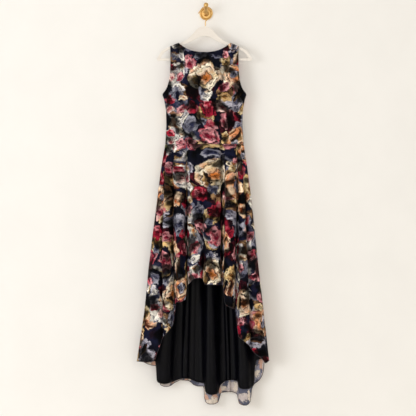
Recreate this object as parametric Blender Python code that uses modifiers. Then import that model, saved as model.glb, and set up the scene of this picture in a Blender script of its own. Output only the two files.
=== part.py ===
"""High-low dress on a flat hanger, hung from a round wall hook.

Metres, +Z up. The wall is the plane Y = 0 and the dress's front faces -Y.
The origin is the centre of the hook plate's back face.
Tables are in millimetres and are turned to metres where they are used.
"""
import math
from collections import namedtuple

import bmesh
import bpy
from mathutils import Vector

MM = 0.001
WELD = 0.00005

# Cloth
CLOTH_WALL = 1.4
LINING_WALL = 1.2
SEAM_GAP = 0.35
DRESS_X = -6.5
HANG_Y = -45.0

# Bodice: neck and shoulders
NECK_HALF = 109.6
SHOULDER_HALF = 143.6
ARM_TOP_AT_NECK = 126.8
ARM_SLOPE = 0.40
CLOTH_OVER_ARM = 1.5
ARM_ROUND = 8.0
ARM_SQUARE = 2.6
FRONT_NECK_DOWN = 164.0
BACK_NECK_DOWN = 168.0
NECK_CURVE = 2.5
WAIST_DOWN = 550.6

# Columns of a bodice panel, as angles round the body from its middle to a side seam
NECK_ANGLE = math.degrees(math.asin(NECK_HALF / SHOULDER_HALF))
PANEL_ANGLES = (0, 12, 24, 34, 41.5, 45.8, 48.3, NECK_ANGLE, 60, 73, 86.5, 90)

BodiceRow = namedtuple("BodiceRow", "down half_width front back armhole")
# down: below the hook; front and back: depth from the hanging plane; armhole: half its gap
BODICE_ROWS = (
    BodiceRow(139.4, 143.6, 19.0, 14.0, 10.4),
    BodiceRow(140.0, 143.6, 19.0, 14.0, 10.4),
    BodiceRow(142.4, 143.5, 19.2, 14.1, 10.4),
    BodiceRow(149.5, 143.3, 19.8, 14.4, 10.4),
    BodiceRow(172.0, 142.7, 21.5, 15.5, 11.4),
    BodiceRow(212.0, 142.6, 26.5, 18.0, 14.6),
    BodiceRow(254.0, 144.2, 32.0, 21.8, 15.4),
    BodiceRow(286.0, 148.7, 38.0, 25.0, 13.5),
    BodiceRow(312.0, 155.8, 42.3, 27.0, 9.4),
    BodiceRow(330.0, 165.2, 44.2, 28.0, 4.2),
    BodiceRow(340.0, 175.0, 45.0, 28.0, 0.0),
    BodiceRow(362.0, 169.4, 45.5, 28.0, 0.0),
    BodiceRow(408.0, 161.4, 43.0, 27.0, 0.0),
    BodiceRow(470.0, 159.6, 39.0, 26.2, 0.0),
    BodiceRow(WAIST_DOWN, 164.2, 40.0, 30.0, 0.0),
)

SkirtRow = namedtuple("SkirtRow", "drop left right front back middle")
# drop: below the waist seam; left, right, front and back: reach from the skirt's own axis;
# middle: that axis's distance from the wall
SKIRT_ROWS = (
    SkirtRow(0, 164.2, 164.2, 40, 30, 45),
    SkirtRow(50, 173.0, 172.0, 44, 32, 46),
    SkirtRow(108, 182.7, 181.0, 50, 34, 48),
    SkirtRow(234, 198.0, 197.4, 58, 38, 52),
    SkirtRow(380, 217.0, 212.5, 66, 43, 57),
    SkirtRow(528, 235.0, 228.0, 73, 48, 62),
    SkirtRow(692, 250.5, 247.0, 79, 52, 66),
    SkirtRow(912, 283.0, 271.5, 84, 55, 69),
    SkirtRow(1110, 298.0, 284.0, 84, 56, 70),
)
FOLD_START = 0.12
FOLD_RUN = 620.0
FAN_POWER = 0.85
ROWS_FRONT = 9
ROWS_BACK = 9
ROWS_LINING = 8
FRONT_STEPS = 4
BACK_STEPS = 5
BESIDE_SEAM = 0.1
STEEP_SIDES = 0.62
HEM_STEP = 0.9
DEEP_FOLD = 24.0

FrontFold = namedtuple("FrontFold", "top low out length")
# top and low: place across the half width at the waist and at the hem, -1 left to 1 right seam;
# out: how far it stands out of the skirt's ring at the hem; length: waist seam to hem
FRONT_FOLDS = (
    FrontFold(-1.000, -1.000, 0, 911),
    FrontFold(-0.985, -0.850, 5, 913),
    FrontFold(-0.965, -0.667, -18, 845),
    FrontFold(-0.890, -0.585, 6, 795),
    FrontFold(-0.790, -0.516, -34, 668),
    FrontFold(-0.620, -0.410, 6, 662),
    FrontFold(-0.460, -0.306, -32, 575),
    FrontFold(-0.270, -0.167, 4, 562),
    FrontFold(-0.050, -0.025, -15, 565),
    FrontFold(0.200, 0.145, 6, 591),
    FrontFold(0.437, 0.314, -36, 590),
    FrontFold(0.620, 0.430, 6, 685),
    FrontFold(0.830, 0.545, -34, 700),
    FrontFold(0.885, 0.645, 6, 825),
    FrontFold(0.935, 0.757, -17, 862),
    FrontFold(0.968, 0.880, 4, 895),
    FrontFold(1.000, 1.000, 0, 908),
)

BackFold = namedtuple("BackFold", "top low out length lining")
# as for the front; lining: the lining's length at the same fold
BACK_FOLDS = (
    BackFold(-1.000, -1.000, 0, 911, 890),
    BackFold(-0.900, -0.840, 5, 922, 896),
    BackFold(-0.660, -0.600, -30, 1020, 1006),
    BackFold(-0.420, -0.370, 4, 988, 985),
    BackFold(-0.320, -0.285, -9, 987, 984),
    BackFold(-0.230, -0.200, 3, 996, 988),
    BackFold(-0.120, -0.105, 6, 1019, 1000),
    BackFold(0.110, 0.103, -36, 1093, 1051),
    BackFold(0.340, 0.310, 6, 1041, 993),
    BackFold(0.400, 0.365, -7, 1037, 990),
    BackFold(0.460, 0.420, 4, 1037, 991),
    BackFold(0.660, 0.600, -38, 1097, 1028),
    BackFold(0.860, 0.815, 3, 1002, 908),
    BackFold(0.920, 0.895, 5, 966, 901),
    BackFold(0.965, 0.950, 3, 924, 898),
    BackFold(1.000, 1.000, 0, 908, 896),
)
LINING_IN_AT_WAIST = 1.75
LINING_IN_AT_SEAM = 3.2
LINING_IN_BELOW = 9.0
LINING_IN_RUN = 150.0
LINING_NEAR_SEAM = 2.5

# Hanger, right half of its outline, from the crown outwards
HANGER_THICK = 10.0
HANGER_EDGE = 1.5
HANGER_TOP = (
    (0, 55.0),
    (18, 59.0),
    (34, 70.1),
    (51.7, 90.7),
    (75.2, 111.5),
    (97, 122.8),
    (109.6, 127.6),
)
SHOULDER_RESTS = (121, 132, 143.6)
HANGER_END = (
    (161, 147.6),
    (178.5, 158.8),
    (190.5, 176.4),
    (198.5, 190),
    (200, 196),
    (196.5, 199.5),
)
HANGER_HOLE = (
    (0, 95.3),
    (22.3, 101.2),
    (51.7, 117.6),
    (75.2, 129.4),
    (98, 137.0),
    (121, 144.2),
    (143, 152.0),
    (158, 158.8),
    (172.6, 170.5),
    (184.4, 188.0),
)
BAR_TOP = 190.5
BAR_BOTTOM = 199.5
BAR_END = 182.5
EDGE_ANGLE = 60

# Hanger hook: a wire loop over the wall hook's arm
WIRE_RADIUS = 2.0
LOOP_RADIUS = 26.5
LOOP_TOP = 26.5
STEM_X = -2.5
LOOP_FROM = -60
LOOP_TO = 120
LOOP_STEP = 12
STEM_GAP = 0.35
STEM_BEND = ((STEM_X, -47), (STEM_X, -39), (-1.0, -33), (4.5, -28))
WIRE_TIP = ((-24.5, 9.5), (-32.3, -1.7))
CURVE_STEPS = 2

# Wall hook: turned plate, and an arm that rises to a ball
PLATE_PROFILE = (
    (0, 10.5),
    (7.0, 10.5),
    (8.5, 9.2),
    (9.5, 6.5),
    (14.0, 5.0),
    (20.0, 5.2),
    (21.8, 7.0),
    (24.0, 7.7),
    (26.2, 6.2),
    (27.0, 3.5),
    (27.0, 0),
    (0, 0),
)
PLATE_SIDES = 32
ArmPoint = namedtuple("ArmPoint", "out up radius")
ARM_POINTS = (
    ArmPoint(10.85, -2.0, 5.0),
    ArmPoint(12.5, -2.0, 5.0),
    ArmPoint(16.5, -1.9, 5.2),
    ArmPoint(24.0, 1.5, 5.8),
    ArmPoint(32.0, 8.5, 6.4),
    ArmPoint(39.0, 14.5, 6.7),
    ArmPoint(46.0, 17.0, 6.7),
    ArmPoint(52.0, 20.5, 6.4),
)
BALL_OUT = 59.0
BALL_UP = 33.0
BALL_RADIUS = 10.3
BALL_FROM = -0.82
BALL_TO = 1.5
BALL_RINGS = 7

PRINT_GROUND = (0.012, 0.012, 0.025, 1)
LINING_BLACK = (0.005, 0.005, 0.006, 1)
HANGER_CREAM = (0.85, 0.81, 0.76, 1)
BRASS = (0.72, 0.47, 0.17, 1)


def lerp(a, b, f):
    return a + (b - a) * f


def ease(f):
    """0 to 1 with level ends."""
    f = min(max(f, 0.0), 1.0)
    return 0.5 - 0.5 * math.cos(math.pi * f)


def row_at(rows, key, value):
    """The row of a table at a value of its first column, between its own rows."""
    for low, high in zip(rows, rows[1:]):
        if value <= getattr(high, key):
            break
    f = (value - getattr(low, key)) / (getattr(high, key) - getattr(low, key))
    return type(low)(*(lerp(a, b, f) for a, b in zip(low, high)))


def through(points, steps):
    """Points on a smooth curve through the given ones, with that many steps in each span."""
    ends = [2 * points[0] - points[1], *points, 2 * points[-1] - points[-2]]
    curve = []
    for a, b, c, d in zip(ends, ends[1:], ends[2:], ends[3:]):
        for k in range(steps):
            f = k / steps
            bend = 2 * a - 5 * b + 4 * c - d
            twist = 3 * b - 3 * c + d - a
            curve.append(0.5 * (2 * b + (c - a) * f + bend * f * f + twist * f * f * f))
    curve.append(points[-1])
    return curve


def material(name, colour, roughness, metallic=0.0):
    mat = bpy.data.materials.new(name)
    mat.use_nodes = True
    shader = mat.node_tree.nodes["Principled BSDF"]
    shader.inputs["Base Color"].default_value = colour
    shader.inputs["Roughness"].default_value = roughness
    shader.inputs["Metallic"].default_value = metallic
    return mat


def place(name, data, mat, collection):
    piece = bpy.data.objects.new(name, data)
    data.materials.append(mat)
    collection.objects.link(piece)
    return piece


def cloth(name, grid, wall, mat, collection):
    """A panel of cloth: the open surface through the grid's points, given its wall by Solidify."""
    mesh = bpy.data.meshes.new(name)
    shape = bmesh.new()
    rows = [[shape.verts.new(point * MM) for point in line] for line in grid]
    for upper, lower in zip(rows, rows[1:]):
        for a, b, c, d in zip(upper, upper[1:], lower[1:], lower):
            shape.faces.new((a, b, c, d))
    shape.to_mesh(mesh)
    shape.free()
    mesh.shade_smooth()
    panel = place(name, mesh, mat, collection)
    solid = panel.modifiers.new("wall", "SOLIDIFY")
    solid.thickness = wall * MM
    solid.offset = 0
    return panel


def arm_top(x):
    """How far below the hook the hanger's arm lies, where the shoulders rest on it."""
    return ARM_TOP_AT_NECK + ARM_SLOPE * (abs(x) - NECK_HALF)


def bodice_top(x, neck_down):
    """The upper edge of a bodice panel: the neckline, and the shoulder seams beside it."""
    if abs(x) >= NECK_HALF - 0.01:
        return arm_top(x) - CLOTH_OVER_ARM
    neck_point = arm_top(NECK_HALF) - CLOTH_OVER_ARM
    return lerp(neck_down, neck_point, (abs(x) / NECK_HALF) ** NECK_CURVE)


def bodice_point(row, angle, depth, neck_down, side):
    """A point of the bodice. side is -1 for the front and 1 for the back."""
    across = math.sin(math.radians(angle))
    round_in = math.cos(math.radians(angle))
    top = bodice_top(across * SHOULDER_HALF, neck_down)
    height = (WAIST_DOWN - row.down) / (WAIST_DOWN - BODICE_ROWS[0].down)
    down = lerp(WAIST_DOWN, top, height)
    x = across * row.half_width
    below_arm = down - arm_top(across * SHOULDER_HALF) + CLOTH_OVER_ARM
    over_arm = max(0.0, 1 - max(below_arm, 0.0) / ARM_ROUND)
    rounding = (1 - over_arm**ARM_SQUARE) ** (1 / ARM_SQUARE)
    reach = lerp(row.armhole, depth, round_in) * rounding
    reach = max(reach, SEAM_GAP / 2)
    seam = SEAM_GAP / 2 if row.down == WAIST_DOWN else 0
    return Vector((DRESS_X + x, HANG_Y + side * reach, -down + seam))


def bodice_front(mat, collection):
    angles = [-a for a in reversed(PANEL_ANGLES[1:])] + list(PANEL_ANGLES)
    grid = [
        [bodice_point(row, a, row.front, FRONT_NECK_DOWN, -1) for a in angles]
        for row in BODICE_ROWS
    ]
    return cloth("bodice_front", grid, CLOTH_WALL, mat, collection)


def bodice_back(name, way, mat, collection):
    """One half of the back, from the centre-back seam to the side; way is -1 left, 1 right."""
    grid = [
        [bodice_point(row, way * a, row.back, BACK_NECK_DOWN, 1) for a in PANEL_ANGLES]
        for row in BODICE_ROWS
    ]
    for line in grid:
        line[0].x += way * SEAM_GAP / 2
    return cloth(name, grid, CLOTH_WALL, mat, collection)


def between(folds, place_along, field):
    """A value of the fold table between two folds, level at each.

    Where one fold stands well behind the next, the length steps on the cloth between them."""
    i = min(int(place_along), len(folds) - 2)
    a = folds[i]
    b = folds[i + 1]
    step = 1 + HEM_STEP * min(abs(a.out - b.out) / DEEP_FOLD, 1)
    if field == "out":
        step = 1
    return lerp(getattr(a, field), getattr(b, field), ease(0.5 + (place_along - i - 0.5) * step))


def fold_places(folds, steps):
    """Places along a fold table: the folds, the steps between them, and one beside each seam."""
    last = len(folds) - 1
    inner = [i / steps for i in range(1, last * steps)]
    return [0, BESIDE_SEAM, *inner, last - BESIDE_SEAM, last]


def fold_angle(folds, place_along, fan):
    """The angle round the body of a place along the table, fan 0 at the waist and 1 at the hem.

    The cloth between two folds crowds together, so that a fold has steep sides."""
    last = len(folds) - 1
    i = min(int(place_along), last - 1)
    f = place_along - i
    if 0 < i < last - 1:
        f += STEEP_SIDES * fan * math.sin(2 * math.pi * f) / (2 * math.pi)
    top = lerp(math.asin(folds[i].top), math.asin(folds[i + 1].top), f)
    low = lerp(math.asin(folds[i].low), math.asin(folds[i + 1].low), f)
    return lerp(top, low, fan)


def skirt_point(folds, place_along, t, side, length_field="length", inward=0.0):
    """A point of the skirt. side is -1 for the front and 1 for the back; t runs waist to hem."""
    length = between(folds, place_along, length_field)
    drop = t * length
    ring = row_at(SKIRT_ROWS, "drop", drop)
    angle = fold_angle(folds, place_along, t**FAN_POWER)
    half = ring.left if angle < 0 else ring.right
    deep = ring.front if side < 0 else ring.back
    across = math.sin(angle)
    round_in = math.cos(angle)
    normal = Vector((deep * across, side * half * round_in, 0)).normalized()
    grown = lerp(FOLD_START, 1, ease(drop / FOLD_RUN))
    out = between(folds, place_along, "out") * grown - inward
    reach = max(deep * round_in, SEAM_GAP / 2)
    x = DRESS_X + half * across
    y = -ring.middle + side * reach
    seam = SEAM_GAP / 2 if t == 0 else 0
    point = Vector((x, y, -WAIST_DOWN - drop - seam)) + normal * out
    return point


def skirt_front(mat, collection):
    places = fold_places(FRONT_FOLDS, FRONT_STEPS)
    grid = [
        [skirt_point(FRONT_FOLDS, p, i / ROWS_FRONT, -1) for p in places]
        for i in range(ROWS_FRONT + 1)
    ]
    return cloth("skirt_front", grid, CLOTH_WALL, mat, collection)


def skirt_back(mat, collection):
    places = fold_places(BACK_FOLDS, BACK_STEPS)
    grid = [
        [skirt_point(BACK_FOLDS, p, i / ROWS_BACK, 1) for p in places]
        for i in range(ROWS_BACK + 1)
    ]
    return cloth("skirt_back", grid, CLOTH_WALL, mat, collection)


def lining_back(mat, collection):
    """The lining hangs inside the back skirt, close to it at the seams and free below."""
    places = fold_places(BACK_FOLDS, BACK_STEPS)
    grid = []
    for i in range(ROWS_LINING + 1):
        t = i / ROWS_LINING
        line = []
        for p in places:
            drop = t * between(BACK_FOLDS, p, "lining")
            from_side = math.cos(fold_angle(BACK_FOLDS, p, t))
            below = lerp(LINING_IN_AT_SEAM, LINING_IN_BELOW, ease(LINING_NEAR_SEAM * from_side))
            inward = lerp(LINING_IN_AT_WAIST, below, ease(drop / LINING_IN_RUN))
            line.append(skirt_point(BACK_FOLDS, p, t, 1, "lining", inward))
        grid.append(line)
    return cloth("lining_back", grid, LINING_WALL, mat, collection)


def outline(curve, half):
    """A closed outline from its right half, mirrored to the left."""
    points = half + [Vector((-p.x, p.y)) for p in reversed(half) if p.x > 0.01]
    spline = curve.splines.new("POLY")
    spline.points.add(len(points) - 1)
    for target, p in zip(spline.points, points):
        target.co = (p.x * MM, p.y * MM, 0, 1)
    spline.use_cyclic_u = True


def hanger_body(mat, collection):
    """A flat hanger with rounded edges, its arms under the dress's shoulders, and a bar."""
    rest = [(x, arm_top(x)) for x in SHOULDER_RESTS]
    top = [Vector((x, -down)) for x, down in (*HANGER_TOP, *rest, *HANGER_END)]
    hole = [Vector((x, -down)) for x, down in HANGER_HOLE]
    curve = bpy.data.curves.new("hanger_outline", "CURVE")
    curve.dimensions = "2D"
    curve.fill_mode = "BOTH"
    curve.extrude = HANGER_THICK / 2 * MM
    bar_top = [Vector((BAR_END, -BAR_TOP)), Vector((0, -BAR_TOP))]
    outline(curve, through(top, CURVE_STEPS) + [Vector((0, -BAR_BOTTOM))])
    outline(curve, through(hole, CURVE_STEPS) + bar_top)
    flat = place("hanger_outline", curve, mat, collection)
    bpy.context.view_layer.update()
    evaluated = flat.evaluated_get(bpy.context.evaluated_depsgraph_get())
    mesh = bpy.data.meshes.new_from_object(evaluated)
    bpy.data.objects.remove(flat)
    shape = bmesh.new()
    shape.from_mesh(mesh)
    bmesh.ops.remove_doubles(shape, verts=shape.verts, dist=WELD)
    shape.to_mesh(mesh)
    shape.free()
    mesh.materials.clear()
    hanger = place("hanger_body", mesh, mat, collection)
    hanger.location = (DRESS_X * MM, HANG_Y * MM, 0)
    hanger.rotation_euler = (math.pi / 2, 0, 0)
    edge = hanger.modifiers.new("edge", "BEVEL")
    edge.width = HANGER_EDGE * MM
    edge.segments = 1
    edge.limit_method = "ANGLE"
    edge.angle_limit = math.radians(EDGE_ANGLE)
    return hanger


def rod(name, points, radii, mat, collection):
    """A round rod along the points, with a radius at each."""
    curve = bpy.data.curves.new(name, "CURVE")
    curve.dimensions = "3D"
    curve.bevel_depth = MM
    curve.bevel_resolution = 2
    curve.use_fill_caps = True
    spline = curve.splines.new("POLY")
    spline.points.add(len(points) - 1)
    for target, point, radius in zip(spline.points, points, radii):
        target.co = (*(point * MM), 1)
        target.radius = radius
    spline.use_smooth = True
    return place(name, curve, mat, collection)


def hanger_hook(mat, collection):
    centre = LOOP_TOP - LOOP_RADIUS
    crown = HANGER_TOP[0][1]
    path = [Vector(p) for p in ((STEM_X, STEM_GAP - crown), *STEM_BEND)]
    for angle in range(LOOP_FROM, LOOP_TO + 1, LOOP_STEP):
        turn = math.radians(angle)
        across = LOOP_RADIUS * math.cos(turn)
        path.append(Vector((across, centre + LOOP_RADIUS * math.sin(turn))))
    path += [Vector(p) for p in WIRE_TIP]
    points = [Vector((p.x, HANG_Y, p.y)) for p in through(path, CURVE_STEPS)]
    return rod("hanger_hook", points, [WIRE_RADIUS] * len(points), mat, collection)


def wall_hook_plate(mat, collection):
    mesh = bpy.data.meshes.new("wall_hook_plate")
    shape = bmesh.new()
    verts = [shape.verts.new((r * MM, 0, h * MM)) for r, h in PLATE_PROFILE]
    for a, b in zip(verts, verts[1:]):
        shape.edges.new((a, b))
    shape.to_mesh(mesh)
    shape.free()
    plate = place("wall_hook_plate", mesh, mat, collection)
    plate.rotation_euler = (math.pi / 2, 0, 0)
    turn = plate.modifiers.new("turn", "SCREW")
    turn.steps = PLATE_SIDES
    turn.render_steps = PLATE_SIDES
    turn.use_merge_vertices = True
    turn.merge_threshold = WELD
    return plate


def wall_hook_arm(mat, collection):
    """The arm leaves the plate level, rises, and ends in a ball."""
    path = [Vector((p.out, p.up, p.radius)) for p in ARM_POINTS]
    curve = through(path, CURVE_STEPS)
    last = ARM_POINTS[-1]
    axis = Vector((BALL_OUT - last.out, BALL_UP - last.up)).normalized()
    for k in range(BALL_RINGS + 1):
        turn = lerp(BALL_FROM, BALL_TO, k / BALL_RINGS)
        along = BALL_RADIUS * math.sin(turn)
        ring = BALL_RADIUS * math.cos(turn)
        curve.append(Vector((BALL_OUT + axis.x * along, BALL_UP + axis.y * along, ring)))
    points = [Vector((0, -p.x, p.y)) for p in curve]
    return rod("wall_hook_arm", points, [p.z for p in curve], mat, collection)


def build():
    for old in list(bpy.data.objects):
        bpy.data.objects.remove(old, do_unlink=True)
    collection = bpy.data.collections.new("high_low_dress")
    bpy.context.scene.collection.children.link(collection)
    floral = material("printed_crepe", PRINT_GROUND, 0.75)
    lining = material("black_lining", LINING_BLACK, 0.45)
    painted = material("cream_hanger", HANGER_CREAM, 0.4)
    brass = material("polished_brass", BRASS, 0.25, 1.0)
    bodice_front(floral, collection)
    bodice_back("bodice_back_left", -1, floral, collection)
    bodice_back("bodice_back_right", 1, floral, collection)
    skirt_front(floral, collection)
    skirt_back(floral, collection)
    lining_back(lining, collection)
    hanger_body(painted, collection)
    hanger_hook(brass, collection)
    wall_hook_plate(brass, collection)
    wall_hook_arm(brass, collection)


build()
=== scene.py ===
import math

import bmesh
import bpy
import numpy as np
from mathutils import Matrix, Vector


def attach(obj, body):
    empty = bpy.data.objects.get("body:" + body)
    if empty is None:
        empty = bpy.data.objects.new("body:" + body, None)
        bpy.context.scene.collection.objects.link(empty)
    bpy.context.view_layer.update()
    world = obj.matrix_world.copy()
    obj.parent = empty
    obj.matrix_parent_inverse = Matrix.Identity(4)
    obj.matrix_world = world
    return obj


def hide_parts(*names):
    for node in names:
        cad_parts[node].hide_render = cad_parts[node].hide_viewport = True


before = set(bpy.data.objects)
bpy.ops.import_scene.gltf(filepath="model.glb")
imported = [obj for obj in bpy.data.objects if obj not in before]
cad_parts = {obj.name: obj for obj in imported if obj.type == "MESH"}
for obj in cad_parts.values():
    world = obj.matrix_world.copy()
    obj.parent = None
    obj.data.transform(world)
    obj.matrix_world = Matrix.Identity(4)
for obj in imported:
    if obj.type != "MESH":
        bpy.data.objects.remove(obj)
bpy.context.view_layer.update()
mm = 0.001
weld = 0.00005


def lerp(a, b, f):
    return a + (b - a) * f


def ease(f):
    # 0 to 1 with level ends, for numbers and for arrays
    return 0.5 - 0.5 * np.cos(np.pi * np.clip(f, 0, 1))


def linear(hexColour):
    # sRGB hex to the linear colour that the shaders take
    parts = [int(hexColour[i:i + 2], 16) / 255 for i in (1, 3, 5)]
    return (*(c / 12.92 if c <= 0.04045 else ((c + 0.055) / 1.055) ** 2.4 for c in parts), 1)


def feed(tree, item, values):
    # sets a node's inputs, in order or by key: numbers, colours, sockets, or nodes for their first output
    for key, value in values.items() if isinstance(values, dict) else enumerate(values):
        if isinstance(value, bpy.types.Node):
            value = value.outputs[0]
        if isinstance(value, bpy.types.NodeSocket):
            tree.links.new(value, item.inputs[key])
        else:
            item.inputs[key].default_value = value


def put(tree, kind, values=(), **settings):
    # adds one node
    item = tree.nodes.new("ShaderNode" + kind)
    for key, value in settings.items():
        setattr(item, key, value)
    feed(tree, item, values)
    return item


def stopColour(value):
    # a stop's colour is given as hex, as a grey level or as four numbers
    if isinstance(value, str):
        return linear(value)
    return value if isinstance(value, tuple) else (value, value, value, 1)


def setStops(ramp, stops, interpolation="LINEAR"):
    # stops: (position, colour) pairs from left to right
    stops = [(position, stopColour(value)) for position, value in stops]
    band = ramp.color_ramp
    band.interpolation = interpolation
    band.elements[0].position, band.elements[0].color = stops[0]
    band.elements[1].position, band.elements[1].color = stops[-1]
    for position, colour in stops[1:-1]:
        band.elements.new(position).color = colour


def newMaterial(name, fill, *values):
    material = bpy.data.materials.new(name)
    material.use_nodes = True
    fill(material.node_tree, material.node_tree.nodes["Principled BSDF"], *values)
    return material


def through(points, steps):
    # a smooth curve through the given points, with that many steps in each span
    points = [np.array(p, dtype=float) for p in points]
    ends = [2 * points[0] - points[1], *points, 2 * points[-1] - points[-2]]
    curve = []
    for a, b, c, d in zip(ends, ends[1:], ends[2:], ends[3:]):
        for k in range(steps):
            f = k / steps
            bend = 2 * a - 5 * b + 4 * c - d
            twist = 3 * b - 3 * c + d - a
            curve.append(0.5 * (2 * b + (c - a) * f + bend * f * f + twist * f ** 3))
    curve.append(points[-1])
    return curve


def settle(grid, passes):
    # evens out the lines down a cloth grid, its first and last row kept
    for _ in range(passes):
        grid[1:-1] = (grid[:-2] + 2 * grid[1:-1] + grid[2:]) / 4
    return grid


def arcLengths(grid, middle):
    # distance along each row of a grid, 0 at the column in the middle
    steps = np.linalg.norm(np.diff(grid, axis=1), axis=2)
    run = np.concatenate([np.zeros((grid.shape[0], 1)), np.cumsum(steps, axis=1)], axis=1)
    return run - run[:, middle:middle + 1]


def addObject(name, data):
    item = bpy.data.objects.new(name, data)
    bpy.context.scene.collection.objects.link(item)
    return item


def standsFor(piece, node, slot):
    # the piece is on the part's only body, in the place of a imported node
    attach(piece, "root")
    if node:
        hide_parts(node)
    return piece


def clothPiece(name, node, grid, flatPlace, cloth, turned=False):
    # a thin shell on the grid (mm), its cut's flat place kept as UV in metres; its right side faces +y
    # where the columns run to +x, and -y where they are turned
    if turned:
        grid, flatPlace = grid[:, ::-1], flatPlace[:, ::-1]
    rows, columns = grid.shape[:2]
    mesh = bpy.data.meshes.new(name)
    corners = np.arange(rows * columns).reshape(rows, columns)
    faces = np.stack([corners[:-1, :-1], corners[:-1, 1:], corners[1:, 1:], corners[1:, :-1]], -1)
    faces = faces.reshape(-1, 4)
    mesh.from_pydata((grid.reshape(-1, 3) * mm).tolist(), [], faces.tolist())
    places = flatPlace.reshape(-1, 2)[faces.reshape(-1)] * mm
    layer = mesh.uv_layers.new(name="cut")
    layer.data.foreach_set("uv", places.reshape(-1).astype(np.float32))
    mesh.shade_smooth()
    for material in cloth["faces"]:
        mesh.materials.append(material)
    piece = addObject(name, mesh)
    shell = piece.modifiers.new("shell", "SOLIDIFY")
    shell.thickness = cloth["wall"] * mm
    shell.offset = 0
    shell.material_offset = 1
    shell.material_offset_rim = 0
    return standsFor(piece, node, cloth["slot"])


def tubePiece(name, points, radius, material, slot, node=None, radii=None, sides=3):
    # a round rod, wire or rolled hem along points in mm
    curve = bpy.data.curves.new(name, "CURVE")
    curve.dimensions = "3D"
    curve.bevel_depth = radius * mm
    curve.bevel_resolution = sides
    curve.use_fill_caps = True
    spline = curve.splines.new("POLY")
    spline.points.add(len(points) - 1)
    for k, point in enumerate(points):
        spline.points[k].co = (*(np.array(point) * mm), 1)
        spline.points[k].radius = radii[k] if radii else 1
    spline.use_smooth = True
    curve.materials.append(material)
    return standsFor(addObject(name, curve), node, slot)


# Blooms of a printed crepe: petal, second petal, heart and crevice colours of each kind
bloomColours = {
    "cream": ("#f6ecd6", "#dcc297", "#b9682c", "#33241c"),
    "peach": ("#f6d9ba", "#eba06a", "#c8602a", "#4a281c"),
    "tan": ("#cfae78", "#e8d6ae", "#7d4f22", "#1d1410"),
    "brown": ("#7b5c42", "#b08c64", "#38190f", "#120c0e"),
    "blush": ("#f0d2c8", "#dd8f8c", "#a53a4c", "#3c1820"),
    "pink": ("#e0a0a6", "#b8394f", "#7e1830", "#2c0c18"),
    "crimson": ("#a21f36", "#d8818a", "#5c0d1c", "#18060d"),
    "maroon": ("#38101a", "#5c1824", "#1e0910", "#0d050c"),
    "white": ("#f1ede4", "#bdbac6", "#9a958f", "#2b2d44"),
    "lavender": ("#b8b5c3", "#83828f", "#4b4a60", "#151727"),
    "slate": ("#9b9ba8", "#5d5e74", "#282b45", "#0c0e20"),
    "olive": ("#7a7a52", "#a9a582", "#454a2a", "#151a10"),
    "none": ("#10101f",) * 4,
}

bare = ("none", 0, 0, 0, 0)
fullTurn = 6.3  # radians; the charts hold turns as shares of it
patchesPerMetre = (56, 56, 0)
brush = {"Scale": 110, "Detail": 4, "Roughness": 0.7, "Distortion": 1.4}

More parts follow.
